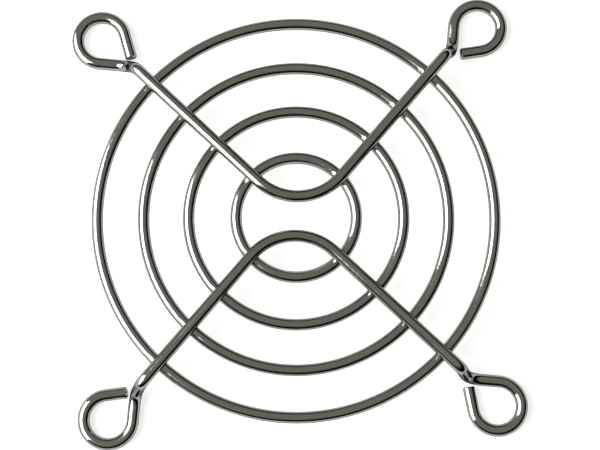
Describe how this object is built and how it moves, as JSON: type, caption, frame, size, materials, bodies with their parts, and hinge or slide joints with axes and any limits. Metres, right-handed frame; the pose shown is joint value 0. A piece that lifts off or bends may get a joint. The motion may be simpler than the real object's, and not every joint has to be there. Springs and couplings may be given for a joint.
{
  "type": "wire fan guard",
  "caption": "Square-pattern wire finger guard for an axial fan: concentric rings welded under bent ribs that end in screw eyelets.",
  "frame": {"origin": "middle of the square hole pattern, on the plane that the undersides of the eyelets stand on", "axes": "+Z out of the fan, from the mounting plane towards the ribs; X and Y along the sides of the hole pattern, +Y towards the upper rib"},
  "size_m": [0.0826, 0.0826, 0.0076],
  "materials": {
    "plated_wire": "bright nickel-chrome plating on drawn steel wire"
  },
  "bodies": {
    "root": {"inner_ring": "plated_wire", "second_ring": "plated_wire", "third_ring": "plated_wire", "outer_ring": "plated_wire", "upper_rib": "plated_wire", "lower_rib": "plated_wire"}
  },
  "joints": []
}
